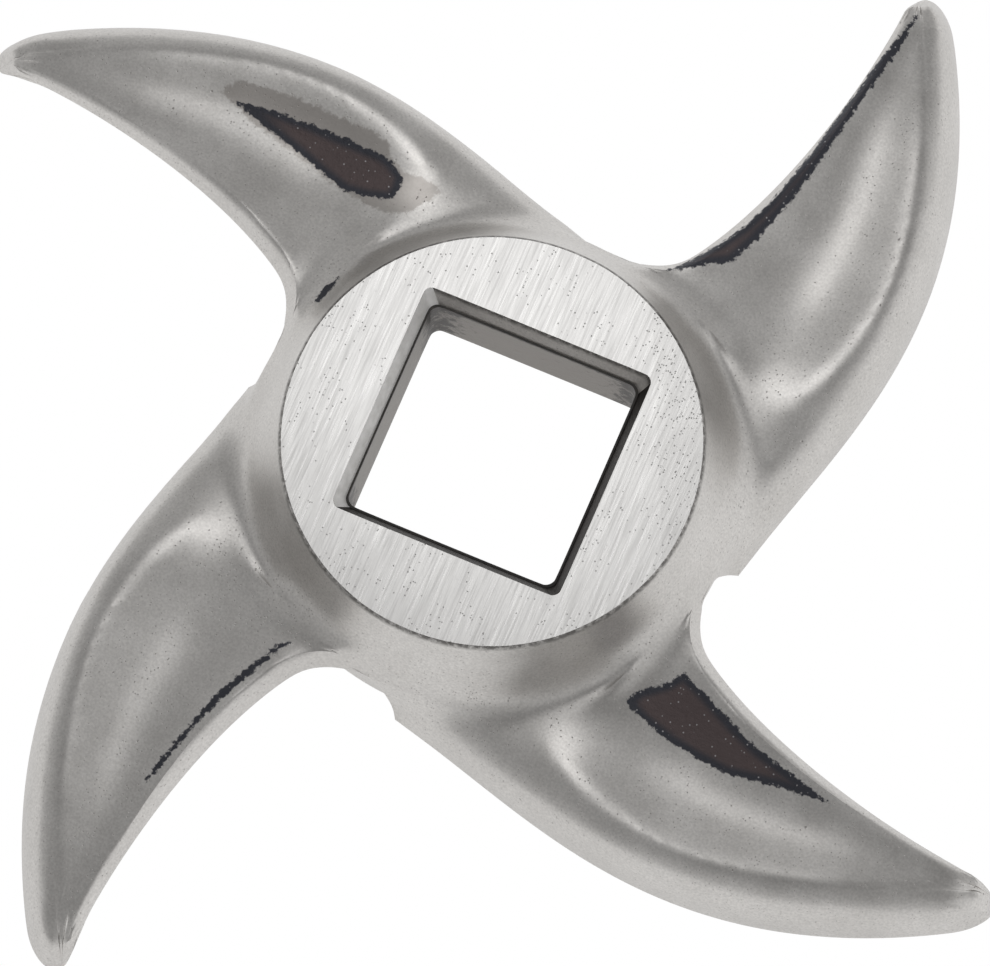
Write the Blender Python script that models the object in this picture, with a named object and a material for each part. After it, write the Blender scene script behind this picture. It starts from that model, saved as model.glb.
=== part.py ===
"""Grinder knife: one casting with a square drive hole, a turned hub and four swept, dished blades.

The knife lies on its ground cutting face. The origin is under the middle of the hub, Z points up
through the hub, and the sides of the square drive hole are parallel to X and Y.
"""
import math

import bmesh
import bpy
import numpy as np

for thing in list(bpy.data.objects):
    bpy.data.objects.remove(thing, do_unlink=True)

# Hub
hub_diameter = 0.0255
knife_height = 0.0097
hub_edge_break = 0.00015
hub_step_height = 0.0010
hub_step_width = 0.00025
hub_wall_draft = 21.0
hub_fillet = 0.0030
ring_diameter = 0.0293
relief_bore_diameter = 0.0205
relief_bore_depth = 0.0031

# Square drive hole
drive_across_flats = 0.0134
drive_corner_round = 0.0007
lead_in_width = 0.00055
lead_in_depth = 0.00112
lead_in_corner_round = 0.0006
shoulder_width = 0.00013

# Throats between the blades
blade_count = 4
blade_turn = 23.6
throat_centre_radius = 0.0205
throat_centre_turn = 60.2
throat_round = 0.0055
throat_root_arc = 18.0
throat_lip_arc = 35.0
lip_root_round = 0.0032

# Convex cutting edge of a blade, in plan
cut_root_x = 0.01467
cut_root_y = -0.00603
cut_root_turn = 53.9
cut_root_pull = 0.00987
cut_end_x = 0.02816
cut_end_y = 0.02729
cut_end_turn = 96.5
cut_end_pull = 0.01837

# Concave lip of a blade, in plan
lip_root_turn = 33.1
lip_root_pull = 0.00767
lip_end_x = 0.02489
lip_end_y = 0.02799
lip_end_turn = 67.4
lip_end_pull = 0.00205

# Crest between the dish and the cutting edge, in plan
crest_root_x = 0.01316
crest_root_y = -0.00049
crest_root_turn = 29.7
crest_root_pull = 0.0126
crest_end_x = 0.0261
crest_end_y = 0.0296
crest_end_turn = 89.6
crest_end_pull = 0.0134

# Rounded tip
tip_lip_pull = 0.0041
tip_cut_pull = 0.0015
tip_cap_share = 0.91

# Heights over the cutting face
ridge_root_height = 0.0051
ridge_tip_height = 0.0029
throat_edge_height = 0.0038
lip_tip_edge_height = 0.0022
crest_root_height = 0.0048
crest_tip_height = 0.0033
neck_height = 0.0048
dish_depth = 0.0014
tip_edge_height = 0.0018

# Widths across a blade
ridge_width = 0.0012
ridge_round = 0.0008
throat_ridge_round = 0.00025
throat_flank_turn = 69.0
lip_flank_turn = 60.0
crest_round = 0.0020
crest_root_round = 0.0052

# Ground land and hollow on the plate side
land_start_turn = 32.0
land_leave_turn = 8.0
land_leave_pull = 0.0070
land_end_pull = 0.0115
land_end_turn = 84.0

# Shares of a span, a height or a width
lip_step_shares = (0.0, 0.32, 0.53, 0.70, 0.85, 1.0)
dish_step_shares = (0.0, 0.06, 0.15, 0.26, 0.38, 0.50, 0.62, 0.73, 0.83, 0.92, 1.0)
band_step_shares = (0.0, 0.12, 0.26, 0.42, 0.60, 0.79, 1.0)
root_lip_share = 0.10
root_crest_share = 0.64
dish_full_share = 0.30
crest_start_share = 0.20
crest_soft_share = 0.42
dish_fade_share = 0.10
dish_low_share = 0.46
band_bulge_share = 0.12
hollow_share = 0.12
lip_pace = 1.1
cut_pace = 0.8
lip_fall_pace = 2.0

# Finish of the mesh
weld_gap = 0.000001
sharp_turn = 32.0

# Divisions
neck_row_count = 6
throat_row_count = 3
blade_row_count = 28
corner_step_count = 5
curve_step_count = 400
arc_step_count = 200
probe_count = 401


def turn_to_xy(degrees):
    return np.array([math.cos(math.radians(degrees)), math.sin(math.radians(degrees))])


def smooth_step(x):
    x = np.clip(x, 0.0, 1.0)
    return x * x * (3.0 - 2.0 * x)


def bezier(start, start_turn, start_pull, end, end_turn, end_pull):
    t = np.linspace(0.0, 1.0, curve_step_count)[:, None]
    first = start + start_pull * turn_to_xy(start_turn)
    second = end - end_pull * turn_to_xy(end_turn)
    return (1 - t) ** 3 * start + 3 * t * (1 - t) ** 2 * first + 3 * t * t * (1 - t) * second + t ** 3 * end


def arc(centre, radius, from_turn, to_turn, steps):
    turns = np.radians(np.linspace(from_turn, to_turn, steps))
    return centre + radius * np.stack([np.cos(turns), np.sin(turns)], axis=1)


def walk(path, shares):
    """Points at the given shares of a path's length."""
    steps = np.linalg.norm(np.diff(path, axis=0), axis=1)
    length = np.concatenate([[0.0], np.cumsum(steps)])
    at = np.asarray(shares) * length[-1]
    return np.stack([np.interp(at, length, path[:, 0]), np.interp(at, length, path[:, 1])], axis=1)


def spin(points, degrees):
    c, s = turn_to_xy(degrees)
    turned = np.array(points, dtype=float)
    turned[..., 0] = c * points[..., 0] - s * points[..., 1]
    turned[..., 1] = s * points[..., 0] + c * points[..., 1]
    return turned


def distance_to(path, points):
    """Shortest distance in plan from each point to a path."""
    start, step = path[:-1], np.diff(path, axis=0)
    nearest = np.full(points.shape[:-1], np.inf)
    for a, d in zip(start, step):
        along = np.clip(((points - a) @ d) / max(float(d @ d), weld_gap ** 2), 0.0, 1.0)
        gap = np.linalg.norm(points - a - along[..., None] * d, axis=-1)
        nearest = np.minimum(nearest, gap)
    return nearest


# Plan curves of one blade. The sector runs from the throat behind it to the throat before it.
step_turn = 360.0 / blade_count
hub_radius = hub_diameter / 2
throat_centre = throat_centre_radius * turn_to_xy(throat_centre_turn)
throat_radius = throat_centre_radius - throat_round
throat_in_turn = throat_centre_turn + 180.0
lip_in_turn = throat_in_turn + throat_lip_arc
lip_root_centre = throat_centre + (throat_round - lip_root_round) * turn_to_xy(lip_in_turn)
throat_bend = arc(throat_centre, throat_round, throat_in_turn, lip_in_turn, arc_step_count)
root_bend = arc(lip_root_centre, lip_root_round, lip_in_turn, 270.0 + lip_root_turn, arc_step_count)
lip_arc = np.concatenate([throat_bend, root_bend[1:]])
lip_end = np.array([lip_end_x, lip_end_y])
lip_run = bezier(lip_arc[-1], lip_root_turn, lip_root_pull, lip_end, lip_end_turn, lip_end_pull)
lip_path = np.concatenate([lip_arc, lip_run[1:]])
cut_throat_centre = throat_centre_radius * turn_to_xy(throat_centre_turn - step_turn)
cut_in_turn = throat_in_turn - step_turn
cut_arc = arc(cut_throat_centre, throat_round, cut_in_turn, cut_in_turn - throat_root_arc, arc_step_count)
cut_root = np.array([cut_root_x, cut_root_y])
cut_end = np.array([cut_end_x, cut_end_y])
cut_path = bezier(cut_root, cut_root_turn, cut_root_pull, cut_end, cut_end_turn, cut_end_pull)
tip_path = bezier(lip_end, lip_end_turn, tip_lip_pull, cut_end, cut_end_turn - 180.0, tip_cut_pull)

# Stations along the blade and shares across it
lip_columns = len(lip_step_shares) - 1
dish_columns = len(dish_step_shares) - 1
band_columns = len(band_step_shares) - 1
columns = lip_columns + dish_columns + band_columns
root_steps = throat_row_count + 1
rows = np.arange(blade_row_count + 1)
row_share = rows / blade_row_count
lip_points = walk(lip_path, row_share ** lip_pace)
cut_share = ((rows[root_steps:] - root_steps) / (blade_row_count - root_steps)) ** cut_pace
cut_points = np.concatenate([walk(cut_arc, np.linspace(0.0, 1.0, root_steps)), walk(cut_path, cut_share)])
crest_root = np.array([crest_root_x, crest_root_y])
crest_end = np.array([crest_end_x, crest_end_y])
crest_path = bezier(crest_root, crest_root_turn, crest_root_pull, crest_end, crest_end_turn, crest_end_pull)
probe = np.linspace(0.0, 1.0, probe_count)
sections = lip_points[:, None] + probe[:, None] * (cut_points - lip_points)[:, None]
ridge_share = probe[np.argmin(np.abs(distance_to(lip_path, sections) - ridge_width), axis=1)]
crest_share = probe[np.argmin(distance_to(crest_path, sections), axis=1)]
blend = smooth_step(row_share / dish_full_share)
ridge_share = root_lip_share + (ridge_share - root_lip_share) * blend
crest_share = root_crest_share + (crest_share - root_crest_share) * smooth_step(row_share / crest_start_share)

across = np.zeros((blade_row_count + 1, columns + 1))
dish_run = np.array(dish_step_shares)
band_run = np.array(band_step_shares)
for row in rows:
    ridge, crest = ridge_share[row], crest_share[row]
    across[row, :lip_columns + 1] = ridge * np.array(lip_step_shares)
    across[row, lip_columns:lip_columns + dish_columns + 1] = ridge + (crest - ridge) * dish_run
    across[row, lip_columns + dish_columns:] = crest + (1.0 - crest) * band_run

# Plan net of the blade: a patch between the root arc, the lip, the cutting edge and the tip
root_turn = throat_centre_turn - step_turn * across[0]
root_row = throat_radius * np.stack([np.cos(np.radians(root_turn)), np.sin(np.radians(root_turn))], axis=1)
tip_row = walk(tip_path, across[-1])
net = np.zeros((blade_row_count + 1, columns + 1, 2))
for row in rows:
    f = across[row][:, None]
    v = row_share[row]
    straight = (1 - f) * lip_points[row] + f * cut_points[row]
    root_line = (1 - across[0][:, None]) * root_row[0] + across[0][:, None] * root_row[-1]
    tip_line = (1 - across[-1][:, None]) * tip_row[0] + across[-1][:, None] * tip_row[-1]
    net[row] = straight + (1 - v) * (root_row - root_line) + v * (tip_row - tip_line)
step_radius = hub_radius + hub_step_width
neck_radii = np.linspace(step_radius, throat_radius, neck_row_count)[:-1]
neck_radii = np.concatenate([[hub_radius], neck_radii])
neck = neck_radii[:, None, None] * (root_row / throat_radius)[None]
plan = np.concatenate([neck, net])
v_of_row = np.concatenate([np.zeros(neck_row_count), row_share])
f_of_row = np.concatenate([np.repeat(across[:1], neck_row_count, axis=0), across])

# Heights of the blade over its plan
fall = v_of_row ** lip_fall_pace
ridge_height = ridge_root_height + (ridge_tip_height - ridge_root_height) * fall
crest_height = crest_root_height + (crest_tip_height - crest_root_height) * fall
neck_fade = 1 - smooth_step(v_of_row / dish_fade_share)
crest_height = crest_height + (neck_height - crest_root_height) * neck_fade
soften = 1 - smooth_step(v_of_row / crest_soft_share)
crest_blend = crest_round + (crest_root_round - crest_round) * soften
dish = dish_depth * smooth_step(v_of_row / dish_full_share) * (1 - v_of_row ** 2)
root_fall = 1 - smooth_step(rows[:root_steps] / root_steps)
cut_height = np.concatenate([np.full(neck_row_count, throat_edge_height), throat_edge_height * root_fall])
cut_height = np.concatenate([cut_height, np.zeros(len(v_of_row) - len(cut_height))])

blade_z = np.zeros(plan.shape[:2])
for row in range(len(v_of_row)):
    f = f_of_row[row]
    ridge, crest = f[lip_columns], f[lip_columns + dish_columns]
    t = (f - ridge) / (crest - ridge)
    in_dish = np.clip(t, 0.0, 1.0)
    low = dish_low_share
    bowl = np.where(t < low, t * (2 * low - t) / low ** 2, (1 - t) * (1 + t - 2 * low) / (1 - low) ** 2)
    rise = crest_height[row] - ridge_height[row]
    floor_z = ridge_height[row] + rise * smooth_step(in_dish) - dish[row] * bowl
    band = (f - crest) / (1.0 - crest)
    band = band - band_bulge_share * 4 * np.clip(band, 0.0, 1.0) * (1 - band)
    slope_z = crest_height[row] + (cut_height[row] - crest_height[row]) * band
    meet = np.clip(1 - np.abs(floor_z - slope_z) / crest_blend[row], 0.0, 1.0)
    lower = np.minimum(floor_z, slope_z) - crest_blend[row] * meet ** 2 / 4
    if cut_height[row] < crest_height[row]:
        blade_z[row] = np.where(t < low, floor_z, lower)
    else:
        blade_z[row] = np.where(t < 1.0, floor_z, slope_z)

# Hub wall with its step under the rim and its fillet on to the blade
radius = np.linalg.norm(plan, axis=2)
slant = math.radians(hub_wall_draft)
step_level = knife_height - hub_step_height
foot = step_radius + math.tan(slant) * (step_level - blade_z)
x = radius - foot
fillet_end = hub_fillet * (1 - math.sin(slant)) / math.cos(slant)
fillet_start = fillet_end - hub_fillet * math.cos(slant)
wall_z = step_level - (radius - step_radius) / math.tan(slant)
inside = np.clip(fillet_end - x, 0.0, hub_fillet)
round_z = blade_z + hub_fillet - np.sqrt(hub_fillet ** 2 - inside ** 2)
surface_z = np.where(x < fillet_start, wall_z, np.where(x < fillet_end, round_z, blade_z))

# Steep flank up from the edge of the throats and of the lip, rounded where it meets the top
lip_edge = np.concatenate([spin(cut_arc, step_turn)[::-1], lip_path[1:]])
throat_edge = spin(lip_edge, -step_turn)
gap = np.minimum(distance_to(lip_edge, plan), distance_to(throat_edge, plan))
along = smooth_step(v_of_row / dish_full_share)
flank_slope = np.tan(np.radians(throat_flank_turn + (lip_flank_turn - throat_flank_turn) * along))
edge_height = throat_edge_height + (lip_tip_edge_height - throat_edge_height) * fall
flank_z = edge_height[:, None] + flank_slope[:, None] * gap
meet_round = (throat_ridge_round + (ridge_round - throat_ridge_round) * along)[:, None]
meet = np.clip(1 - np.abs(surface_z - flank_z) / meet_round, 0.0, 1.0)
top_z = np.minimum(surface_z, flank_z) - meet_round * meet ** 2 / 4
top_z[:, 0] = edge_height
top_z[:neck_row_count + 1, 0] = top_z[:neck_row_count + 1, -1]

# Rounded cap at the tip
tip_level = tip_edge_height * (1 - smooth_step(np.arange(columns + 1) / lip_columns))
cap = np.clip((v_of_row - tip_cap_share) / (1 - tip_cap_share), 0.0, 1.0)
cap = np.sqrt(1 - cap ** 2)[:, None]
top_z = tip_level + (top_z - tip_level) * cap
top_z[neck_row_count + 1:, -1] = cut_height[neck_row_count + 1:]
top_z[-1, lip_columns:] = 0.0
top = np.concatenate([plan, top_z[..., None]], axis=2)

# Plate side: relief bore, ring, ground land and the hollow behind the lip
ring_radius = ring_diameter / 2
bore_radius = relief_bore_diameter / 2
land_start = ring_radius * turn_to_xy(land_start_turn)
tip_inner = tip_row[lip_columns]
land_run = bezier(land_start, land_leave_turn, land_leave_pull, tip_inner, land_end_turn, land_end_pull)
ring_arc = arc(np.zeros(2), ring_radius, throat_centre_turn, land_start_turn, arc_step_count)
ground_points = walk(np.concatenate([ring_arc, land_run[1:]]), row_share)
ring_end_turn = math.degrees(math.atan2(cut_root_y, cut_root_x))
root_ring = arc(np.zeros(2), ring_radius, throat_centre_turn - step_turn, ring_end_turn, root_steps)

# Square hole, from the hub face down to the relief bore
half_flat = drive_across_flats / 2
hole_loops = [
    (half_flat + shoulder_width + lead_in_width, lead_in_corner_round, knife_height),
    (half_flat + shoulder_width, drive_corner_round, knife_height - lead_in_depth),
    (half_flat, drive_corner_round, knife_height - lead_in_depth),
    (half_flat, drive_corner_round, relief_bore_depth),
]
mesh = bmesh.new()


def rounded_square(half, corner):
    """One quarter of a rounded square, from the throat line before a blade back to the one behind it."""
    lead = half / math.tan(math.radians(throat_centre_turn + blade_turn))
    top_steps = (columns - corner_step_count) // 2
    side_steps = columns - corner_step_count - top_steps
    inner = half - corner
    above = np.stack([np.linspace(lead, inner, top_steps + 1), np.full(top_steps + 1, half)], axis=1)
    bend = arc(np.array([inner, inner]), corner, 90.0, 0.0, corner_step_count + 1)
    beside = np.stack([np.full(side_steps + 1, half), np.linspace(inner, -lead, side_steps + 1)], axis=1)
    return np.concatenate([above, bend[1:], beside[1:]])


def at_height(points, height):
    return np.concatenate([points, np.full((len(points), 1), height)], axis=1)


def add_points(points, turn):
    return [mesh.verts.new(p) for p in spin(points, turn)]


def add_quads(first, second):
    """Fills the strip between two rows of points. Points that the rows share make triangles."""
    for k in range(len(first) - 1):
        corners = [first[k], first[k + 1], second[k + 1], second[k]]
        mesh.faces.new([v for n, v in enumerate(corners) if v not in corners[:n]])


def add_hollow(outline, outline_at, ground, ground_at, turn, ends):
    """Fills the hollow between the upper outline and the ground face, down to the shared end points."""
    strips = [outline]
    for k in range(1, lip_columns):
        t = k / lip_columns
        middle = np.zeros((len(ground_at), 3))
        middle[:, :2] = (1 - t) * outline_at[:, :2] + t * ground_at
        middle[:, 2] = outline_at[:, 2] * (1 - t + hollow_share * 4 * t * (1 - t))
        strips.append(add_points(middle, turn) + [ends[k]])
    strips.append(ground)
    for a, b in zip(strips, strips[1:]):
        add_quads(a, b)


for blade in range(blade_count):
    square_turn = blade * step_turn
    turn = square_turn + blade_turn

    # Top side, from the rim of the hub face to the tip
    rim = at_height(plan[0] * (1 - hub_edge_break / hub_radius), knife_height)
    below_rim = at_height(plan[0], knife_height - hub_edge_break)
    net_rows = [add_points(points, turn) for points in [rim, below_rim] + list(top[1:])]
    for a, b in zip(net_rows, net_rows[1:]):
        add_quads(a, b)

    # Hub face, square hole and relief bore
    loops = [net_rows[0]]
    for half, corner, height in hole_loops:
        loops.append(add_points(at_height(rounded_square(half, corner), height), square_turn))
    for height in (relief_bore_depth, 0.0):
        loops.append(add_points(at_height(root_row * (bore_radius / throat_radius), height), turn))
    for a, b in zip(loops, loops[1:]):
        add_quads(b, a)

    # Hollow behind the lip, and the short one behind the root of the cutting edge
    blade_start = neck_row_count + 1
    tip_points = net_rows[-1]
    lip_outline = [points[0] for points in net_rows[blade_start:]]
    ground = add_points(at_height(ground_points[:-1], 0.0), turn) + [tip_points[lip_columns]]
    add_hollow(lip_outline, top[neck_row_count:-1, 0], ground, ground_points[:-1], turn, tip_points)
    cut_outline = [points[-1] for points in net_rows[blade_start:]]
    root_corner = cut_outline[root_steps]
    root_ground = add_points(at_height(root_ring, 0.0), turn) + [root_corner]
    root_at = top[neck_row_count:neck_row_count + root_steps, -1]
    root_outline = cut_outline[:root_steps + 1]
    add_hollow(root_outline, root_at, root_ground, root_ring, turn, [root_corner] * lip_columns)

    # Ground cutting face
    edge = loops[-1] + root_ground[:-1] + cut_outline[root_steps:]
    edge = edge + tip_points[lip_columns + 1:-1][::-1] + ground[::-1]
    mesh.faces.new(edge)

bmesh.ops.remove_doubles(mesh, verts=mesh.verts, dist=weld_gap)
bmesh.ops.recalc_face_normals(mesh, faces=mesh.faces)
flat_faces = [face for face in mesh.faces if len(face.verts) > 4]
bmesh.ops.triangulate(mesh, faces=flat_faces, ngon_method='EAR_CLIP')

steel = bpy.data.materials.new("cast_stainless_steel")
steel.use_nodes = True
finish = steel.node_tree.nodes["Principled BSDF"]
finish.inputs["Base Color"].default_value = (0.62, 0.61, 0.59, 1.0)
finish.inputs["Metallic"].default_value = 1.0
finish.inputs["Roughness"].default_value = 0.28

knife_mesh = bpy.data.meshes.new("grinder_knife")
mesh.to_mesh(knife_mesh)
mesh.free()
knife_mesh.materials.append(steel)
knife_mesh.shade_smooth()
knife_mesh.set_sharp_from_angle(angle=math.radians(sharp_turn))
knife = bpy.data.objects.new("grinder_knife", knife_mesh)
bpy.context.collection.objects.link(knife)
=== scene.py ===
import math

import bpy
import numpy as np
from mathutils import Euler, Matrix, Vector, kdtree
from mathutils.geometry import interpolate_bezier


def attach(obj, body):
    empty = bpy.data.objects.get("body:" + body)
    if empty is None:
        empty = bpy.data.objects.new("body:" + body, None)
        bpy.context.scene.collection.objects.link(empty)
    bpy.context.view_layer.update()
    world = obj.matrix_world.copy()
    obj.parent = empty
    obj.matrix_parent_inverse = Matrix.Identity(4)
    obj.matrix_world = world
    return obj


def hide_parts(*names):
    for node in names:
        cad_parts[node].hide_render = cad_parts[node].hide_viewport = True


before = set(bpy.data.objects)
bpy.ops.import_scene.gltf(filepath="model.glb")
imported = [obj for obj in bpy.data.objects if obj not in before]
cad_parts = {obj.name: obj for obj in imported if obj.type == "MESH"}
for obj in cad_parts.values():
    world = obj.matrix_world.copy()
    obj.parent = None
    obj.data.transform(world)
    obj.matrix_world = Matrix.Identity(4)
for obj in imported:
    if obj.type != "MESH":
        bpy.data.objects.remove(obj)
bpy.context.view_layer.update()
print("frame loaded")

# Camera, in metres and degrees, looking down on the hub from a long way off
cameraSetup = {
    "place": (0.10607, -0.23247, 0.99718),
    "turn": (14.3623, 0.3778, 23.0262),
    "lens": 622.24,
    "sensor": 36.0,
}

# The knife: which node it stands for, and how its surface is refined
knife = {
    "node": "grinder_knife",
    "body": "root",
    "slot": "cast_steel",
    "mergeDistance": 0.000002,
    "quadFaceTurn": 30.0,
    "quadShapeTurn": 60.0,
    "creaseTurn": 32.0,
    "smoothTurn": 40.0,
    "subdivisions": 2,
}

# Crest of a blade in plan, which the casting carries a little higher than the node, in metres and
# degrees. liftStart and liftEnd are shares of the way from root to tip
crest = {
    "root": (0.01316, -0.00049),
    "rootTurn": 29.7,
    "rootPull": 0.0126,
    "tip": (0.0261, 0.0296),
    "tipTurn": 89.6,
    "tipPull": 0.0134,
    "points": 160,
    "blades": 4,
    "bladeTurn": 23.6,
    "lowestSlope": 0.1,
    "lift": 0.0007,
    "width": 0.0025,
    "liftStart": (0.05, 0.30),
    "liftEnd": (0.72, 1.0),
    "hubClear": (0.0140, 0.0180),
    "edgeClear": (0.0012, 0.0024),
}

# Belt polish: how far the tops of the blades are smoothed, clear of the true edges, in metres. The
# crest keeps the share onCrest of it, and all of it in the root band
polish = {
    "rounds": 60,
    "strength": 0.5,
    "edgeClear": (0.0008, 0.0020),
    "crestClear": (0.0003, 0.0012),
    "onCrest": 0.22,
    "rootBand": (0.0165, 0.0200),
    "lowest": (0.0016, 0.0026),
    "hubClear": (0.0134, 0.0142),
    "highest": 0.0082,
}

# Places on the knife that get their own finish, in metres, and how far a lead-in leans
finishPlaces = {
    "slack": 0.0001,
    "leadInLean": 0.25,
    "hubFaceHeight": 0.0097,
    "hubRadius": 0.01275,
    "holeReach": 0.0075,
    "leadInHeight": 0.00865,
    "shoulderHeight": 0.00858,
    "boreHeight": 0.0031,
    "boreReach": 0.0106,
    "groundHeight": 0.00002,
}

# Dark patches in the dishes: partly casting skin that the polishing left, partly a painted reflection
# of the dark lens opening; thin lines of painted shade along two lips; and a pit at the rim: outlines
# seen from above, in mm
skinAndShadeOutlines = {
    "frontBlade": [
        (13.0, -10.5), (13.5, -9.5), (14.9, -8.4), (15.6, -7.5), (17.2, -8.1), (19.5, -9.2),
        (21.5, -10.0), (25.1, -10.9), (26.9, -11.4), (23.9, -11.6), (20.2, -12.1), (18.2, -11.9),
        (16.4, -11.6), (14.5, -11.1),
    ],
    "leftBlade": [
        (-23.4, 14.8), (-21.0, 15.2), (-18.4, 15.3), (-15.6, 15.2), (-13.4, 15.1), (-12.7, 14.8),
        (-11.9, 14.3), (-11.8, 13.4), (-12.0, 12.7), (-13.5, 12.3), (-14.9, 12.2), (-16.6, 12.7),
        (-18.3, 13.3), (-22.5, 14.5),
    ],
    # Painted shade: a thin dark line along the lip of the back blade
    "backBladeLipShade": [
        (4.9, 14.8), (6.2, 16.6), (7.2, 17.8), (8.2, 19.4), (8.9, 21.1), (9.4, 22.9),
        (10.1, 25.6), (10.6, 28.4), (11.2, 31.2), (11.8, 33.5), (12.6, 36.5), (12.5, 33.5),
        (12.0, 31.3), (11.5, 28.5), (11.0, 25.8), (10.5, 23.2), (9.9, 20.9), (9.2, 18.8),
        (8.4, 17.0), (7.3, 16.3), (6.2, 15.5),
    ],
    # Painted shade: a thin dark line along the lip of the near blade
    "nearBladeLipShade": [
        (-6.5, -14.8), (-7.5, -15.3), (-8.0, -16.3), (-8.8, -17.8), (-9.7, -19.6), (-10.4, -21.7),
        (-11.4, -25.1), (-11.6, -26.7), (-11.0, -25.2), (-10.0, -21.7), (-9.1, -19.7),
        (-8.3, -18.0), (-7.1, -15.6),
    ],
    "rimPit": [
        (-13.6, 4.8), (-13.6, 5.4), (-13.3, 6.2), (-12.8, 6.8), (-12.8, 6.2), (-13.0, 5.4),
        (-13.3, 4.6),
    ],
}

# Painted shade: a browner, darker zone round the dark patch of the left blade, in mm
paintedShadeOutlines = {
    "leftBlade": [
        (-24.5, 15.0), (-23.4, 16.2), (-20.3, 16.5), (-17.3, 16.4), (-14.6, 16.3), (-13.4, 16.0),
        (-13.0, 15.2), (-12.0, 14.8), (-10.8, 14.8), (-9.1, 14.7), (-9.8, 13.4), (-10.7, 12.2),
        (-12.0, 11.7), (-13.7, 11.8), (-15.8, 12.2), (-18.8, 13.1), (-21.8, 13.9),
    ],
}

# Rough spots with many pits: middle and reach, in mm
pittedSpots = [
    {"at": (-7.4, -13.0), "reach": 3.2, "amount": 1.0},
    {"at": (-11.2, -11.0), "reach": 3.5, "amount": 0.5},
    {"at": (5.5, -14.5), "reach": 2.6, "amount": 0.7},
    {"at": (15.5, 3.5), "reach": 5.0, "amount": 0.35},
    {"at": (-13.2, 6.4), "reach": 1.5, "amount": 0.8},
]

# Soft light tent round a base tone, with a glow low on its walls. Each panel: its turn round the
# picture from the right, its angle away from the camera, its half size and softness, all in degrees,
# and its strength, below zero where it darkens. The lens opening leaves a share of the light
tent = {
    "base": 0.40,
    "wallGlow": 0.24,
    "wallRise": (0.28, 0.86),
    "panels": {
        "rightWall": {"around": 345.0, "away": 66.0, "size": 29.0, "soft": 10.0, "strength": 0.52},
        "upperGap": {"around": 84.0, "away": 38.0, "size": 12.0, "soft": 12.0, "strength": -0.12},
        "rightGap": {"around": 10.0, "away": 26.0, "size": 6.0, "soft": 8.0, "strength": -0.10},
    },
    "lensOpening": {"size": 4.0, "soft": 5.0, "left": 0.15},
}

# Small soft box close over the back blade: the spot it lights, its way from there as in the tent,
# its gap and size in metres and its power in watts
softBox = {
    "over": (0.0170, 0.0170, 0.0039),
    "around": 121.0,
    "away": 30.0,
    "gap": 0.085,
    "size": 0.040,
    "power": 0.0115,
}

floor = {"size": 3.0, "drop": 0.0001, "tone": 0.75, "roughness": 0.9, "glow": 0.55}


def deselectAll():
    if bpy.context.mode != "OBJECT":
        bpy.ops.object.mode_set(mode="OBJECT")
    bpy.ops.object.select_all(action="DESELECT")


def makeActive(piece):
    deselectAll()
    piece.select_set(True)
    bpy.context.view_layer.objects.active = piece


def newMaterial(name):
    material = bpy.data.materials.new(name)
    material.use_nodes = True
    return material, material.node_tree.nodes, material.node_tree.links


def addNode(nodes, kind, place, **settings):
    node = nodes.new(kind)
    node.location = place
    for key, value in settings.items():
        setattr(node, key, value)
    return node


def easeIn(value, start, end):
    share = min(max((value - start) / (end - start), 0.0), 1.0)
    return share * share * (3.0 - 2.0 * share)


# Knife: a copy of the node, merged, with its true edges creased, then subdivided
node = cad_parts[knife["node"]]
makeActive(node)
bpy.ops.object.duplicate()
blank = bpy.context.view_layer.objects.active
blank.name = "knifeCasting"
makeActive(blank)
bpy.ops.mesh.customdata_custom_splitnormals_clear()
bpy.ops.object.mode_set(mode="EDIT")
bpy.ops.mesh.select_mode(type="EDGE")
bpy.ops.mesh.select_all(action="SELECT")
bpy.ops.mesh.remove_doubles(threshold=knife["mergeDistance"])
bpy.ops.mesh.tris_convert_to_quads(
    face_threshold=math.radians(knife["quadFaceTurn"]),
    shape_threshold=math.radians(knife["quadShapeTurn"]),
)
bpy.ops.mesh.select_all(action="DESELECT")
bpy.ops.mesh.edges_select_sharp(sharpness=math.radians(knife["creaseTurn"]))
bpy.ops.transform.edge_crease(value=1.0)
bpy.ops.object.mode_set(mode="OBJECT")
print("merged faces:", len(blank.data.polygons), "verts:", len(blank.data.vertices))
refine = blank.modifiers.new("refine", "SUBSURF")
refine.levels = knife["subdivisions"]
refine.render_levels = knife["subdivisions"]
bpy.ops.object.modifier_apply(modifier=refine.name)


# Crest: each blade's top rises a little along its crest line, so that the dish is as deep on its
# outer side
def crestLine():
    root = Vector(crest["root"] + (0.0,))
    tip = Vector(crest["tip"] + (0.0,))
    out = Vector((crest["rootPull"], 0.0, 0.0))
    back = Vector((crest["tipPull"], 0.0, 0.0))
    out.rotate(Euler((0.0, 0.0, math.radians(crest["rootTurn"]))))
    back.rotate(Euler((0.0, 0.0, math.radians(crest["tipTurn"]))))
    return interpolate_bezier(root, root + out, tip - back, tip, crest["points"])


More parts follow.
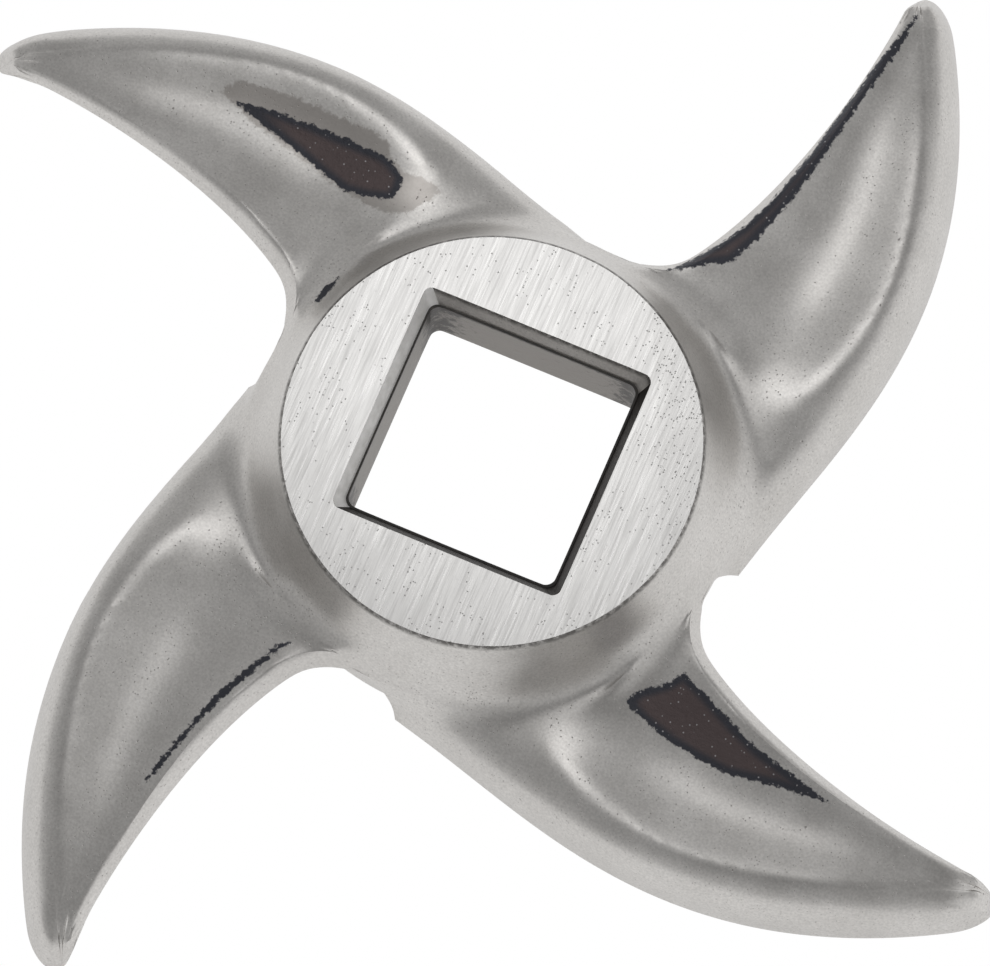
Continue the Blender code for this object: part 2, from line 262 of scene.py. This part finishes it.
line = crestLine()
finder = kdtree.KDTree(len(line) * crest["blades"])
for blade in range(crest["blades"]):
    turn = Euler((0.0, 0.0, math.radians(crest["bladeTurn"] + 360.0 / crest["blades"] * blade)))
    for number, point in enumerate(line):
        turned = point.copy()
        turned.rotate(turn)
        finder.insert(turned, number)
finder.balance()
slopes = [vertex.normal.z for vertex in blank.data.vertices]
crestDistance = {}
for vertex, slope in zip(blank.data.vertices, slopes):
    flat = Vector((vertex.co.x, vertex.co.y, 0.0))
    onHub = flat.length < polish["hubClear"][0] or vertex.co.z > polish["highest"]
    if slope < crest["lowestSlope"] or onHub:
        continue
    place, number, distance = finder.find(flat)
    crestDistance[vertex.index] = distance
    share = number / (len(line) - 1)
    amount = easeIn(share, *crest["liftStart"]) * (1.0 - easeIn(share, *crest["liftEnd"]))
    amount = amount * easeIn(flat.length, *crest["hubClear"]) * easeIn(vertex.co.z, *crest["edgeClear"])
    vertex.co.z += crest["lift"] * amount * math.exp(-((distance / crest["width"]) ** 2))

# Polish: a Smooth modifier, weighted away from the true edges
makeActive(blank)
bpy.ops.object.mode_set(mode="EDIT")
bpy.ops.mesh.select_mode(type="EDGE")
bpy.ops.mesh.select_all(action="DESELECT")
bpy.ops.mesh.edges_select_sharp(sharpness=math.radians(knife["smoothTurn"]))
bpy.ops.object.mode_set(mode="OBJECT")
edgePoints = [vertex.co.copy() for vertex in blank.data.vertices if vertex.select]
edgeFinder = kdtree.KDTree(len(edgePoints))
for number, point in enumerate(edgePoints):
    edgeFinder.insert(point, number)
edgeFinder.balance()
polished = blank.vertex_groups.new(name="polished")
for number, distance in crestDistance.items():
    spot = blank.data.vertices[number].co
    edgeGap = edgeFinder.find(spot)[2]
    nearHub = 1.0 - easeIn(spot.xy.length, *polish["rootBand"])
    weight = easeIn(edgeGap, *polish["edgeClear"]) * easeIn(spot.z, *polish["lowest"])
    weight = weight * max(easeIn(distance, *polish["crestClear"]), nearHub, polish["onCrest"])
    weight = weight * easeIn(spot.xy.length, *polish["hubClear"])
    if weight > 0.0:
        polished.add([number], weight, "REPLACE")
belt = blank.modifiers.new("belt", "SMOOTH")
belt.factor = polish["strength"]
belt.iterations = polish["rounds"]
belt.vertex_group = polished.name
bpy.ops.object.modifier_apply(modifier=belt.name)
bpy.ops.object.shade_smooth_by_angle(angle=math.radians(knife["smoothTurn"]))
print("knife refined:", len(blank.data.polygons), "faces, polished:", len(crestDistance), "points")


# Distance in mm from each point to an outline in plan, above zero inside it
def distanceInside(points, outline):
    corners = np.array(outline)
    nearest = np.full(len(points), np.inf)
    inside = np.zeros(len(points), dtype=bool)
    for start, end in zip(corners, np.roll(corners, -1, axis=0)):
        step = end - start
        along = np.clip((points - start) @ step / (step @ step), 0.0, 1.0)
        nearest = np.minimum(nearest, np.linalg.norm(points - start - along[:, None] * step, axis=1))
        crosses = (start[1] > points[:, 1]) != (end[1] > points[:, 1])
        if start[1] != end[1]:
            at = start[0] + (points[:, 1] - start[1]) / (end[1] - start[1]) * step[0]
            inside ^= crosses & (points[:, 0] < at)
    return np.where(inside, nearest, -nearest)


# Places of the finishes, kept on the mesh as attributes in mm
marking = {"upSlope": 0.05, "farOutside": -3.0, "perMetre": 1000.0}


def keepAttribute(name, values):
    layer = blank.data.attributes.new(name, "FLOAT", "POINT")
    layer.data.foreach_set("value", np.ascontiguousarray(values, dtype=np.float32))


places = np.array([vertex.co for vertex in blank.data.vertices]) * marking["perMetre"]
facesUp = np.array([vertex.normal.z for vertex in blank.data.vertices]) > marking["upSlope"]
# Masks of the dark patches and lip lines (casting skin and painted shade) and of the browner painted
# shade zone
for name, outlines in (("skinAndShade", skinAndShadeOutlines), ("paintedShade", paintedShadeOutlines)):
    inside = np.max([distanceInside(places[:, :2], outline) for outline in outlines.values()], axis=0)
    far = marking["farOutside"]
    keepAttribute(name, np.where(facesUp, np.maximum(inside, far), far))
pitting = np.zeros(len(places))
for spot in pittedSpots:
    away = np.linalg.norm(places[:, :2] - np.array(spot["at"]), axis=1) / spot["reach"]
    pitting = np.maximum(pitting, spot["amount"] * np.clip(1.0 - away, 0.0, 1.0))
keepAttribute("pitting", pitting)
print("finish places marked")


def setInputs(node, values):
    for name, value in values.items():
        node.inputs[name].default_value = value


def noiseAt(nodes, links, source, place, scale, detail, roughness=0.5):
    noise = addNode(nodes, "ShaderNodeTexNoise", place)
    setInputs(noise, {"Scale": scale, "Detail": detail, "Roughness": roughness})
    links.new(source, noise.inputs["Vector"])
    return noise.outputs["Fac"]


def remap(nodes, links, source, place, fromRange, toRange, soft=False):
    node = addNode(nodes, "ShaderNodeMapRange", place)
    node.interpolation_type = "SMOOTHSTEP" if soft else "LINEAR"
    ends = (fromRange[0], fromRange[1], toRange[0], toRange[1])
    setInputs(node, dict(zip(("From Min", "From Max", "To Min", "To Max"), ends)))
    links.new(source, node.inputs["Value"])
    return node.outputs["Result"]


def combine(nodes, links, operation, values, place):
    node = addNode(nodes, "ShaderNodeMath", place, operation=operation)
    for socket, value in zip(node.inputs, values):
        if isinstance(value, float):
            socket.default_value = value
        else:
            links.new(value, socket)
    return node.outputs["Value"]


def blendColours(nodes, links, factor, first, second, place, kind="MIX"):
    node = addNode(nodes, "ShaderNodeMix", place, data_type="RGBA", blend_type=kind)
    sockets = (node.inputs["Factor"], node.inputs[6], node.inputs[7])
    for socket, value in zip(sockets, (factor, first, second)):
        if isinstance(value, tuple):
            socket.default_value = value + (1.0,)
        elif isinstance(value, float):
            socket.default_value = value
        else:
            links.new(value, socket)
    return node.outputs[2]


def attributeAt(nodes, name, place):
    return addNode(nodes, "ShaderNodeAttribute", place, attribute_name=name).outputs["Fac"]


# Distance from the hub's axis
def fromAxis(nodes, links, source, place):
    flat = addNode(nodes, "ShaderNodeVectorMath", place, operation="MULTIPLY")
    flat.inputs[1].default_value = (1.0, 1.0, 0.0)
    links.new(source, flat.inputs[0])
    reach = addNode(nodes, "ShaderNodeVectorMath", (place[0] + 200, place[1]), operation="LENGTH")
    links.new(flat.outputs["Vector"], reach.inputs[0])
    return reach.outputs["Value"]


# Bump over the bump before it, its height or strength from the pattern
def addBump(nodes, links, height, place, strength, distance, below=None, invert=False):
    bump = addNode(nodes, "ShaderNodeBump", place, invert=invert)
    bump.inputs["Distance"].default_value = distance
    if isinstance(strength, float):
        bump.inputs["Strength"].default_value = strength
    else:
        links.new(strength, bump.inputs["Strength"])
    links.new(height, bump.inputs["Height"])
    if below:
        links.new(below, bump.inputs["Normal"])
    return bump.outputs["Normal"]


# Small pits: dark points in a few of the cells of a Voronoi pattern
def pitPattern(nodes, links, source, place, scale, share, size):
    cells = addNode(nodes, "ShaderNodeTexVoronoi", place)
    setInputs(cells, {"Scale": scale})
    links.new(source, cells.inputs["Vector"])
    x, y = place
    near = remap(nodes, links, cells.outputs["Distance"], (x + 200, y), size, (1.0, 0.0), True)
    tone = addNode(nodes, "ShaderNodeSeparateColor", (x + 200, y - 180))
    links.new(cells.outputs["Color"], tone.inputs[0])
    chosen = combine(nodes, links, "LESS_THAN", (tone.outputs[0], share), (x + 400, y - 180))
    return combine(nodes, links, "MULTIPLY", (near, chosen), (x + 600, y))


# Cast steel: satin, a little uneven, with fine pits; dark skin where the belt did not reach, partly
# standing as a painted reflection of the dark lens opening; painted shade lines along two lips and a
# browner painted shade zone;
# and a dark rim line of painted shade, broken like chips
def castSteel():
    look = {
        "tone": (0.665, 0.648, 0.628),
        "dull": (0.585, 0.568, 0.548),
        "pit": (0.10, 0.085, 0.075),
        "skinAndShadeMiddle": (0.135, 0.108, 0.108),
        "skinAndShadeEdge": (0.070, 0.072, 0.085),
        "speck": (0.50, 0.49, 0.50),
        "paintedShade": (0.33, 0.305, 0.285),
        "rim": (0.10, 0.095, 0.09),
        "rimBand": (0.00004, 0.00016),
        "rimDepth": (0.0005, 0.0001),
        "roughness": (0.36, 0.45),
        "skinAndShadeRoughness": 0.18,
    }
    material, nodes, links = newMaterial("satinCastSteel")
    shader = nodes["Principled BSDF"]
    shader.inputs["Metallic"].default_value = 1.0
    place = addNode(nodes, "ShaderNodeTexCoord", (-2400, 0)).outputs["Object"]
    skinAndShade = attributeAt(nodes, "skinAndShade", (-2400, -700))
    paintedShade = attributeAt(nodes, "paintedShade", (-2400, -900))
    pitting = attributeAt(nodes, "pitting", (-2400, -1100))
    cloud = noiseAt(nodes, links, place, (-2100, 300), 240.0, 5.0)
    grain = noiseAt(nodes, links, place, (-2100, 100), 6500.0, 2.0)
    lumps = noiseAt(nodes, links, place, (-2100, -100), 2600.0, 4.0, 0.7)

    tone = remap(nodes, links, cloud, (-1800, 300), (0.35, 0.65), (0.0, 1.0))
    colour = blendColours(nodes, links, tone, look["dull"], look["tone"], (-1500, 300))
    fine = remap(nodes, links, grain, (-1800, 100), (0.30, 0.70), (0.88, 1.08))
    colour = blendColours(nodes, links, 1.0, colour, fine, (-1300, 300), "MULTIPLY")

    patchy = remap(nodes, links, cloud, (-1800, -300), (0.35, 0.75), (0.06, 0.26))
    share = combine(nodes, links, "MULTIPLY_ADD", (pitting, 0.55, patchy), (-1600, -300))
    small = pitPattern(nodes, links, place, (-1400, -300), 6200.0, share, (0.10, 0.34))
    larger = pitPattern(nodes, links, place, (-1400, -700), 1700.0, 0.035, (0.05, 0.16))
    pits = combine(nodes, links, "MAXIMUM", (small, larger), (-600, -400))
    pitDepth = combine(nodes, links, "MULTIPLY", (pits, 0.5), (-500, -300))
    colour = blendColours(nodes, links, pitDepth, colour, look["pit"], (-400, 300))

    ragged = remap(nodes, links, lumps, (-1800, -1100), (0.30, 0.70), (-0.26, 0.10))
    # Painted shade: a browner, darker zone round the left blade's dark patch
    paintedShadePlace = combine(nodes, links, "ADD", (paintedShade, ragged), (-1500, -1100))
    paintedShadeMask = remap(nodes, links, paintedShadePlace, (-1300, -1100), (-0.05, 0.20), (0.0, 0.72), True)
    colour = blendColours(nodes, links, paintedShadeMask, colour, look["paintedShade"], (-200, 300))
    # Dark patches, partly casting skin and partly a painted reflection of the dark lens opening, and
    # painted shade lines along the lips
    skinAndShadePlace = combine(nodes, links, "ADD", (skinAndShade, ragged), (-1500, -1300))
    skinAndShadeMask = remap(nodes, links, skinAndShadePlace, (-1300, -1300), (-0.10, 0.02), (0.0, 1.0), True)
    middle = remap(nodes, links, skinAndShade, (-1300, -1500), (0.25, 0.75), (0.0, 1.0), True)
    dark = blendColours(nodes, links, middle, look["skinAndShadeEdge"], look["skinAndShadeMiddle"], (-700, -900))
    fleck = pitPattern(nodes, links, place, (-1400, -1700), 5200.0, 0.10, (0.10, 0.35))
    dark = blendColours(nodes, links, fleck, dark, look["speck"], (-500, -900))
    colour = blendColours(nodes, links, skinAndShadeMask, colour, dark, (0, 300))

    # Painted shade: a dark line round the rim of the hub face, at the top of the fillet, broken up like
    # chips
    split = addNode(nodes, "ShaderNodeSeparateXYZ", (-2100, 700))
    links.new(place, split.inputs[0])
    reach = fromAxis(nodes, links, place, (-2100, 900))
    rimEdge = [finishPlaces["hubRadius"] + gap for gap in look["rimBand"]]
    atRim = remap(nodes, links, reach, (-1700, 900), rimEdge, (1.0, 0.0), True)
    rimTop = [finishPlaces["hubFaceHeight"] - gap for gap in look["rimDepth"]]
    high = remap(nodes, links, split.outputs["Z"], (-1700, 700), rimTop, (0.0, 1.0), True)
    broken = remap(nodes, links, lumps, (-1700, 500), (0.32, 0.55), (0.25, 0.9))
    rim = combine(nodes, links, "MULTIPLY", (atRim, high), (-1500, 800))
    rim = combine(nodes, links, "MULTIPLY", (rim, broken), (-1300, 800))
    colour = blendColours(nodes, links, rim, colour, look["rim"], (200, 300))
    links.new(colour, shader.inputs["Base Color"])

    uneven = remap(nodes, links, cloud, (-300, 0), (0.30, 0.70), look["roughness"])
    rough = combine(nodes, links, "MULTIPLY_ADD", (skinAndShadeMask, look["skinAndShadeRoughness"], uneven), (-100, 0))
    links.new(rough, shader.inputs["Roughness"])

    wavy = noiseAt(nodes, links, place, (-900, -1900), 520.0, 2.0)
    waves = addBump(nodes, links, wavy, (-300, -1700), 0.05, 0.00012)
    skinLumps = addBump(nodes, links, lumps, (-100, -1500), skinAndShadeMask, 0.00010, waves)
    grit = addBump(nodes, links, grain, (100, -1300), 0.10, 0.00003, skinLumps)
    holes = addBump(nodes, links, pits, (300, -1100), 0.5, 0.00004, grit, True)
    links.new(holes, shader.inputs["Normal"])
    return material


# Ground steel: straight grinding marks along one way, a calmer facet at one side, with specks left by
# the casting
def groundSteel():
    look = {
        "bright": (0.66, 0.652, 0.641),
        "dull": (0.53, 0.522, 0.512),
        "metal": 0.55,
        "roughness": (0.34, 0.26),
        "pit": (0.16, 0.145, 0.13),
        "marks": {
            "fine": {"turn": 3.0, "scale": (11000.0, 300.0, 400.0)},
            "wide": {"turn": 1.0, "scale": (5200.0, 170.0, 400.0)},
        },
        "fineShare": 0.65,
        "facetWay": (0.906, 0.423, 0.0),
        "facetAt": (0.0098, 0.0099),
        "facetPits": 0.16,
    }
    material, nodes, links = newMaterial("groundHubSteel")
    shader = nodes["Principled BSDF"]
    shader.inputs["Metallic"].default_value = look["metal"]
    place = addNode(nodes, "ShaderNodeTexCoord", (-2000, 0)).outputs["Object"]
    scratches = []
    for height, mark in zip((200, -200), look["marks"].values()):
        way = addNode(nodes, "ShaderNodeMapping", (-1800, height))
        setInputs(way, {"Rotation": (0.0, 0.0, math.radians(mark["turn"])), "Scale": mark["scale"]})
        links.new(place, way.inputs["Vector"])
        scratches.append(noiseAt(nodes, links, way.outputs["Vector"], (-1600, height), 1.0, 3.0, 0.6))
    fine, wide = scratches
    lesser = combine(nodes, links, "MULTIPLY", (wide, 1.0 - look["fineShare"]), (-1500, -100))
    marks = combine(nodes, links, "MULTIPLY_ADD", (fine, look["fineShare"], lesser), (-1400, 0))

    split = addNode(nodes, "ShaderNodeVectorMath", (-1800, -600), operation="DOT_PRODUCT")
    split.inputs[1].default_value = look["facetWay"]
    links.new(place, split.inputs[0])
    facet = remap(nodes, links, split.outputs["Value"], (-1600, -600), look["facetAt"], (0.0, 1.0))
    calm = remap(nodes, links, facet, (-1400, -400), (0.0, 1.0), (1.0, 0.55))
    tone = remap(nodes, links, marks, (-1200, 0), (0.36, 0.64), (0.0, 1.0))
    tone = combine(nodes, links, "MULTIPLY", (tone, calm), (-1000, 0))
    colour = blendColours(nodes, links, tone, look["dull"], look["bright"], (-800, 200))
    cloud = noiseAt(nodes, links, place, (-1600, -900), 420.0, 4.0)
    share = remap(nodes, links, cloud, (-1400, -900), (0.40, 0.75), (0.0, 0.16))
    extra = combine(nodes, links, "MULTIPLY_ADD", (facet, look["facetPits"], share), (-1200, -900))
    pits = pitPattern(nodes, links, place, (-1000, -700), 7500.0, extra, (0.10, 0.40))
    depth = combine(nodes, links, "MULTIPLY", (pits, 0.45), (-300, -500))
    colour = blendColours(nodes, links, depth, colour, look["pit"], (-500, 200))
    links.new(colour, shader.inputs["Base Color"])
    rough = remap(nodes, links, marks, (-500, -100), (0.36, 0.64), look["roughness"])
    links.new(rough, shader.inputs["Roughness"])
    scratched = addBump(nodes, links, marks, (-300, -300), 0.25, 0.00002)
    holes = addBump(nodes, links, pits, (-100, -300), 0.5, 0.00004, scratched, True)
    links.new(holes, shader.inputs["Normal"])
    return material


# Walls of the square hole: dull and dirty as cast, with painted shade that makes them blacker in the
# corners and along the shoulder
def holeSteel():
    look = {
        "wall": (0.24, 0.222, 0.205),
        "shadeAndDirt": (0.035, 0.03, 0.028),
        "cornerAt": (0.0076, 0.0093),
        "shoulderBand": 0.00045,
        "roughness": 0.42,
    }
    material, nodes, links = newMaterial("dullHoleSteel")
    shader = nodes["Principled BSDF"]
    shader.inputs["Metallic"].default_value = 1.0
    shader.inputs["Roughness"].default_value = look["roughness"]
    place = addNode(nodes, "ShaderNodeTexCoord", (-1600, 0)).outputs["Object"]
    lumps = noiseAt(nodes, links, place, (-1400, 200), 1900.0, 5.0, 0.7)
    reach = fromAxis(nodes, links, place, (-1400, -300))
    # Painted shade: darker towards the corners of the hole
    cornerShade = remap(nodes, links, reach, (-1000, -300), look["cornerAt"], (0.0, 0.30), True)
    split = addNode(nodes, "ShaderNodeSeparateXYZ", (-1400, -600))
    links.new(place, split.inputs[0])
    shoulder = finishPlaces["shoulderHeight"]
    under = (shoulder - look["shoulderBand"], shoulder)
    # Painted shade: a dark band on the wall just under the shoulder
    shoulderBandShade = remap(nodes, links, split.outputs["Z"], (-1000, -600), under, (0.0, 0.42), True)
    level = combine(nodes, links, "ADD", (lumps, cornerShade), (-800, -100))
    level = combine(nodes, links, "ADD", (level, shoulderBandShade), (-600, -100))
    dirtyAndShaded = remap(nodes, links, level, (-400, -100), (0.60, 0.80), (0.0, 0.95), True)
    colour = blendColours(nodes, links, dirtyAndShaded, look["wall"], look["shadeAndDirt"], (-200, 100))
    links.new(colour, shader.inputs["Base Color"])
    links.new(addBump(nodes, links, lumps, (-200, -300), 0.5, 0.00006), shader.inputs["Normal"])
    return material


# Plain mottled finish: two tones and two roughnesses
def mottledFinish(name, look):
    material, nodes, links = newMaterial(name)
    shader = nodes["Principled BSDF"]
    shader.inputs["Metallic"].default_value = look["metal"]
    place = addNode(nodes, "ShaderNodeTexCoord", (-900, 0)).outputs["Object"]
    cloud = noiseAt(nodes, links, place, (-700, 0), look["scale"], look["detail"])
    tone = remap(nodes, links, cloud, (-500, 0), (0.3, 0.7), (0.0, 1.0))
    colour = blendColours(nodes, links, tone, look["dark"], look["light"], (-300, 0))
    rough = remap(nodes, links, cloud, (-300, -200), (0.3, 0.7), look["roughness"])
    links.new(colour, shader.inputs["Base Color"])
    links.new(rough, shader.inputs["Roughness"])
    return material


# Painted shade: a near-black line on the narrow shoulder under the lead-in of the hole
shadeAndDirt = {
    "metal": 0.0,
    "scale": 2500.0,
    "detail": 3.0,
    "dark": (0.012, 0.011, 0.010),
    "light": (0.05, 0.045, 0.04),
    "roughness": (0.6, 0.8),
}

# Painted highlight: the lead-in on the left of the hole, coloured near-white where it catches the light
leadInHighlight = {
    "metal": 0.6,
    "scale": 1400.0,
    "detail": 4.0,
    "dark": (0.78, 0.77, 0.75),
    "light": (0.97, 0.96, 0.95),
    "roughness": (0.55, 0.40),
}

finishes = {
    "cast": castSteel(),
    "ground": groundSteel(),
    "hole": holeSteel(),
    "shadeAndDirt": mottledFinish("shoulderPaintedShade", shadeAndDirt),
    "bright": mottledFinish("paintedHighlightLeadIn", leadInHighlight),
}
blank.data.materials.clear()
for finish in finishes.values():
    blank.data.materials.append(finish)
slots = {name: number for number, name in enumerate(finishes)}


def finishOf(face):
    reach = max(abs(face.center.x), abs(face.center.y))
    height = face.center.z
    slack = finishPlaces["slack"]
    if face.normal.z > 0.99 and height > finishPlaces["hubFaceHeight"] - slack:
        return "ground"
    inHole = reach < finishPlaces["holeReach"]
    if inHole and height > finishPlaces["leadInHeight"]:
        # Left lead-in: painted highlight
        if face.normal.x > finishPlaces["leadInLean"]:
            return "bright"
        return "cast" if face.normal.y < -finishPlaces["leadInLean"] else "hole"
    aboveBore = height > finishPlaces["boreHeight"] + slack
    inBore = face.center.xy.length < finishPlaces["boreReach"] and not aboveBore
    if face.normal.z < -0.9 and (height < finishPlaces["groundHeight"] or inBore):
        return "ground"
    # Upward shoulder faces get the near-black painted shade line
    if inHole and finishPlaces["boreHeight"] < height < finishPlaces["leadInHeight"]:
        return "shadeAndDirt" if face.normal.z > 0.9 else "hole"
    return "cast"


for face in blank.data.polygons:
    face.material_index = slots[finishOf(face)]
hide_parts(knife["node"])
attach(blank, knife["body"])
print("knife finished")

# Floor
deselectAll()
bpy.ops.mesh.primitive_plane_add(size=floor["size"], location=(0.0, 0.0, -floor["drop"]))
ground = bpy.context.view_layer.objects.active
ground.name = "paleFloor"
material, nodes, links = newMaterial("paleFloorPaint")
paint = nodes["Principled BSDF"]
paint.inputs["Base Color"].default_value = (floor["tone"],) * 3 + (1.0,)
paint.inputs["Roughness"].default_value = floor["roughness"]
paint.inputs["Emission Color"].default_value = (1.0, 1.0, 1.0, 1.0)
paint.inputs["Emission Strength"].default_value = floor["glow"]
backlight = addNode(nodes, "ShaderNodeEmission", (0, -300))
path = addNode(nodes, "ShaderNodeLightPath", (0, 500))
mix = addNode(nodes, "ShaderNodeMixShader", (250, 200))
links.new(path.outputs["Is Camera Ray"], mix.inputs[0])
links.new(paint.outputs[0], mix.inputs[1])
links.new(backlight.outputs[0], mix.inputs[2])
links.new(mix.outputs[0], nodes["Material Output"].inputs["Surface"])
ground.data.materials.append(material)

# Camera
cameraData = bpy.data.cameras.new("studioCamera")
cameraData.lens = cameraSetup["lens"]
cameraData.sensor_width = cameraSetup["sensor"]
cameraData.clip_end = 10.0
camera = bpy.data.objects.new("studioCamera", cameraData)
camera.location = cameraSetup["place"]
camera.rotation_euler = tuple(math.radians(a) for a in cameraSetup["turn"])
bpy.context.collection.objects.link(camera)
bpy.context.scene.camera = camera


# Light tent, as the world, and the soft box
def tentDirection(around, away):
    turn = Euler([math.radians(a) for a in cameraSetup["turn"]]).to_matrix()
    x = math.sin(math.radians(away)) * math.cos(math.radians(around))
    y = math.sin(math.radians(away)) * math.sin(math.radians(around))
    return turn @ Vector((x, y, math.cos(math.radians(away))))


deselectAll()
spot = Vector(softBox["over"])
way = tentDirection(softBox["around"], softBox["away"])
bpy.ops.object.light_add(type="AREA", location=spot + way * softBox["gap"])
box = bpy.context.view_layer.objects.active
box.name = "softBox"
box.rotation_euler = way.to_track_quat("Z", "Y").to_euler()
box.data.size = softBox["size"]
box.data.energy = softBox["power"]
box.visible_camera = False

world = bpy.data.worlds.new("lightTent")
bpy.context.scene.world = world
world.use_nodes = True
nodes, links = world.node_tree.nodes, world.node_tree.links
nodes.clear()
direction = addNode(nodes, "ShaderNodeTexCoord", (-1400, 0)).outputs["Generated"]


def nearTo(target, size, soft, place, strengths):
    dot = addNode(nodes, "ShaderNodeVectorMath", place, operation="DOT_PRODUCT")
    dot.inputs[1].default_value = target
    links.new(direction, dot.inputs[0])
    edge = (math.cos(math.radians(size + soft)), math.cos(math.radians(size)))
    return remap(nodes, links, dot.outputs["Value"], (place[0] + 200, place[1]), edge, strengths, True)


split = addNode(nodes, "ShaderNodeSeparateXYZ", (-1200, 300))
links.new(direction, split.inputs[0])
glowRange = (tent["wallGlow"], 0.0)
walls = remap(nodes, links, split.outputs["Z"], (-1000, 300), tent["wallRise"], glowRange, True)
total = combine(nodes, links, "ADD", (walls, tent["base"]), (-700, 300))
for number, panel in enumerate(tent["panels"].values()):
    target = tentDirection(panel["around"], panel["away"])
    lower = -200 * number
    glow = nearTo(target, panel["size"], panel["soft"], (-1000, lower), (0.0, panel["strength"]))
    total = combine(nodes, links, "ADD", (total, glow), (-500, lower))
lens = tent["lensOpening"]
opening = nearTo(tentDirection(0.0, 0.0), lens["size"], lens["soft"], (-1000, 600), (1.0, lens["left"]))
shade = combine(nodes, links, "MULTIPLY", (total, opening), (-300, 0))
lightRays = addNode(nodes, "ShaderNodeBackground", (-100, 0))
links.new(shade, lightRays.inputs["Strength"])
seen = addNode(nodes, "ShaderNodeBackground", (-100, -200))
seen.inputs["Color"].default_value = (1.0, 1.0, 1.0, 1.0)
path = addNode(nodes, "ShaderNodeLightPath", (-100, 300))
mix = addNode(nodes, "ShaderNodeMixShader", (150, 0))
out = addNode(nodes, "ShaderNodeOutputWorld", (350, 0))
links.new(path.outputs["Is Camera Ray"], mix.inputs[0])
links.new(lightRays.outputs[0], mix.inputs[1])
links.new(seen.outputs[0], mix.inputs[2])
links.new(mix.outputs[0], out.inputs[0])
print("light tent ready")

bpy.context.scene.view_settings.view_transform = "Standard"
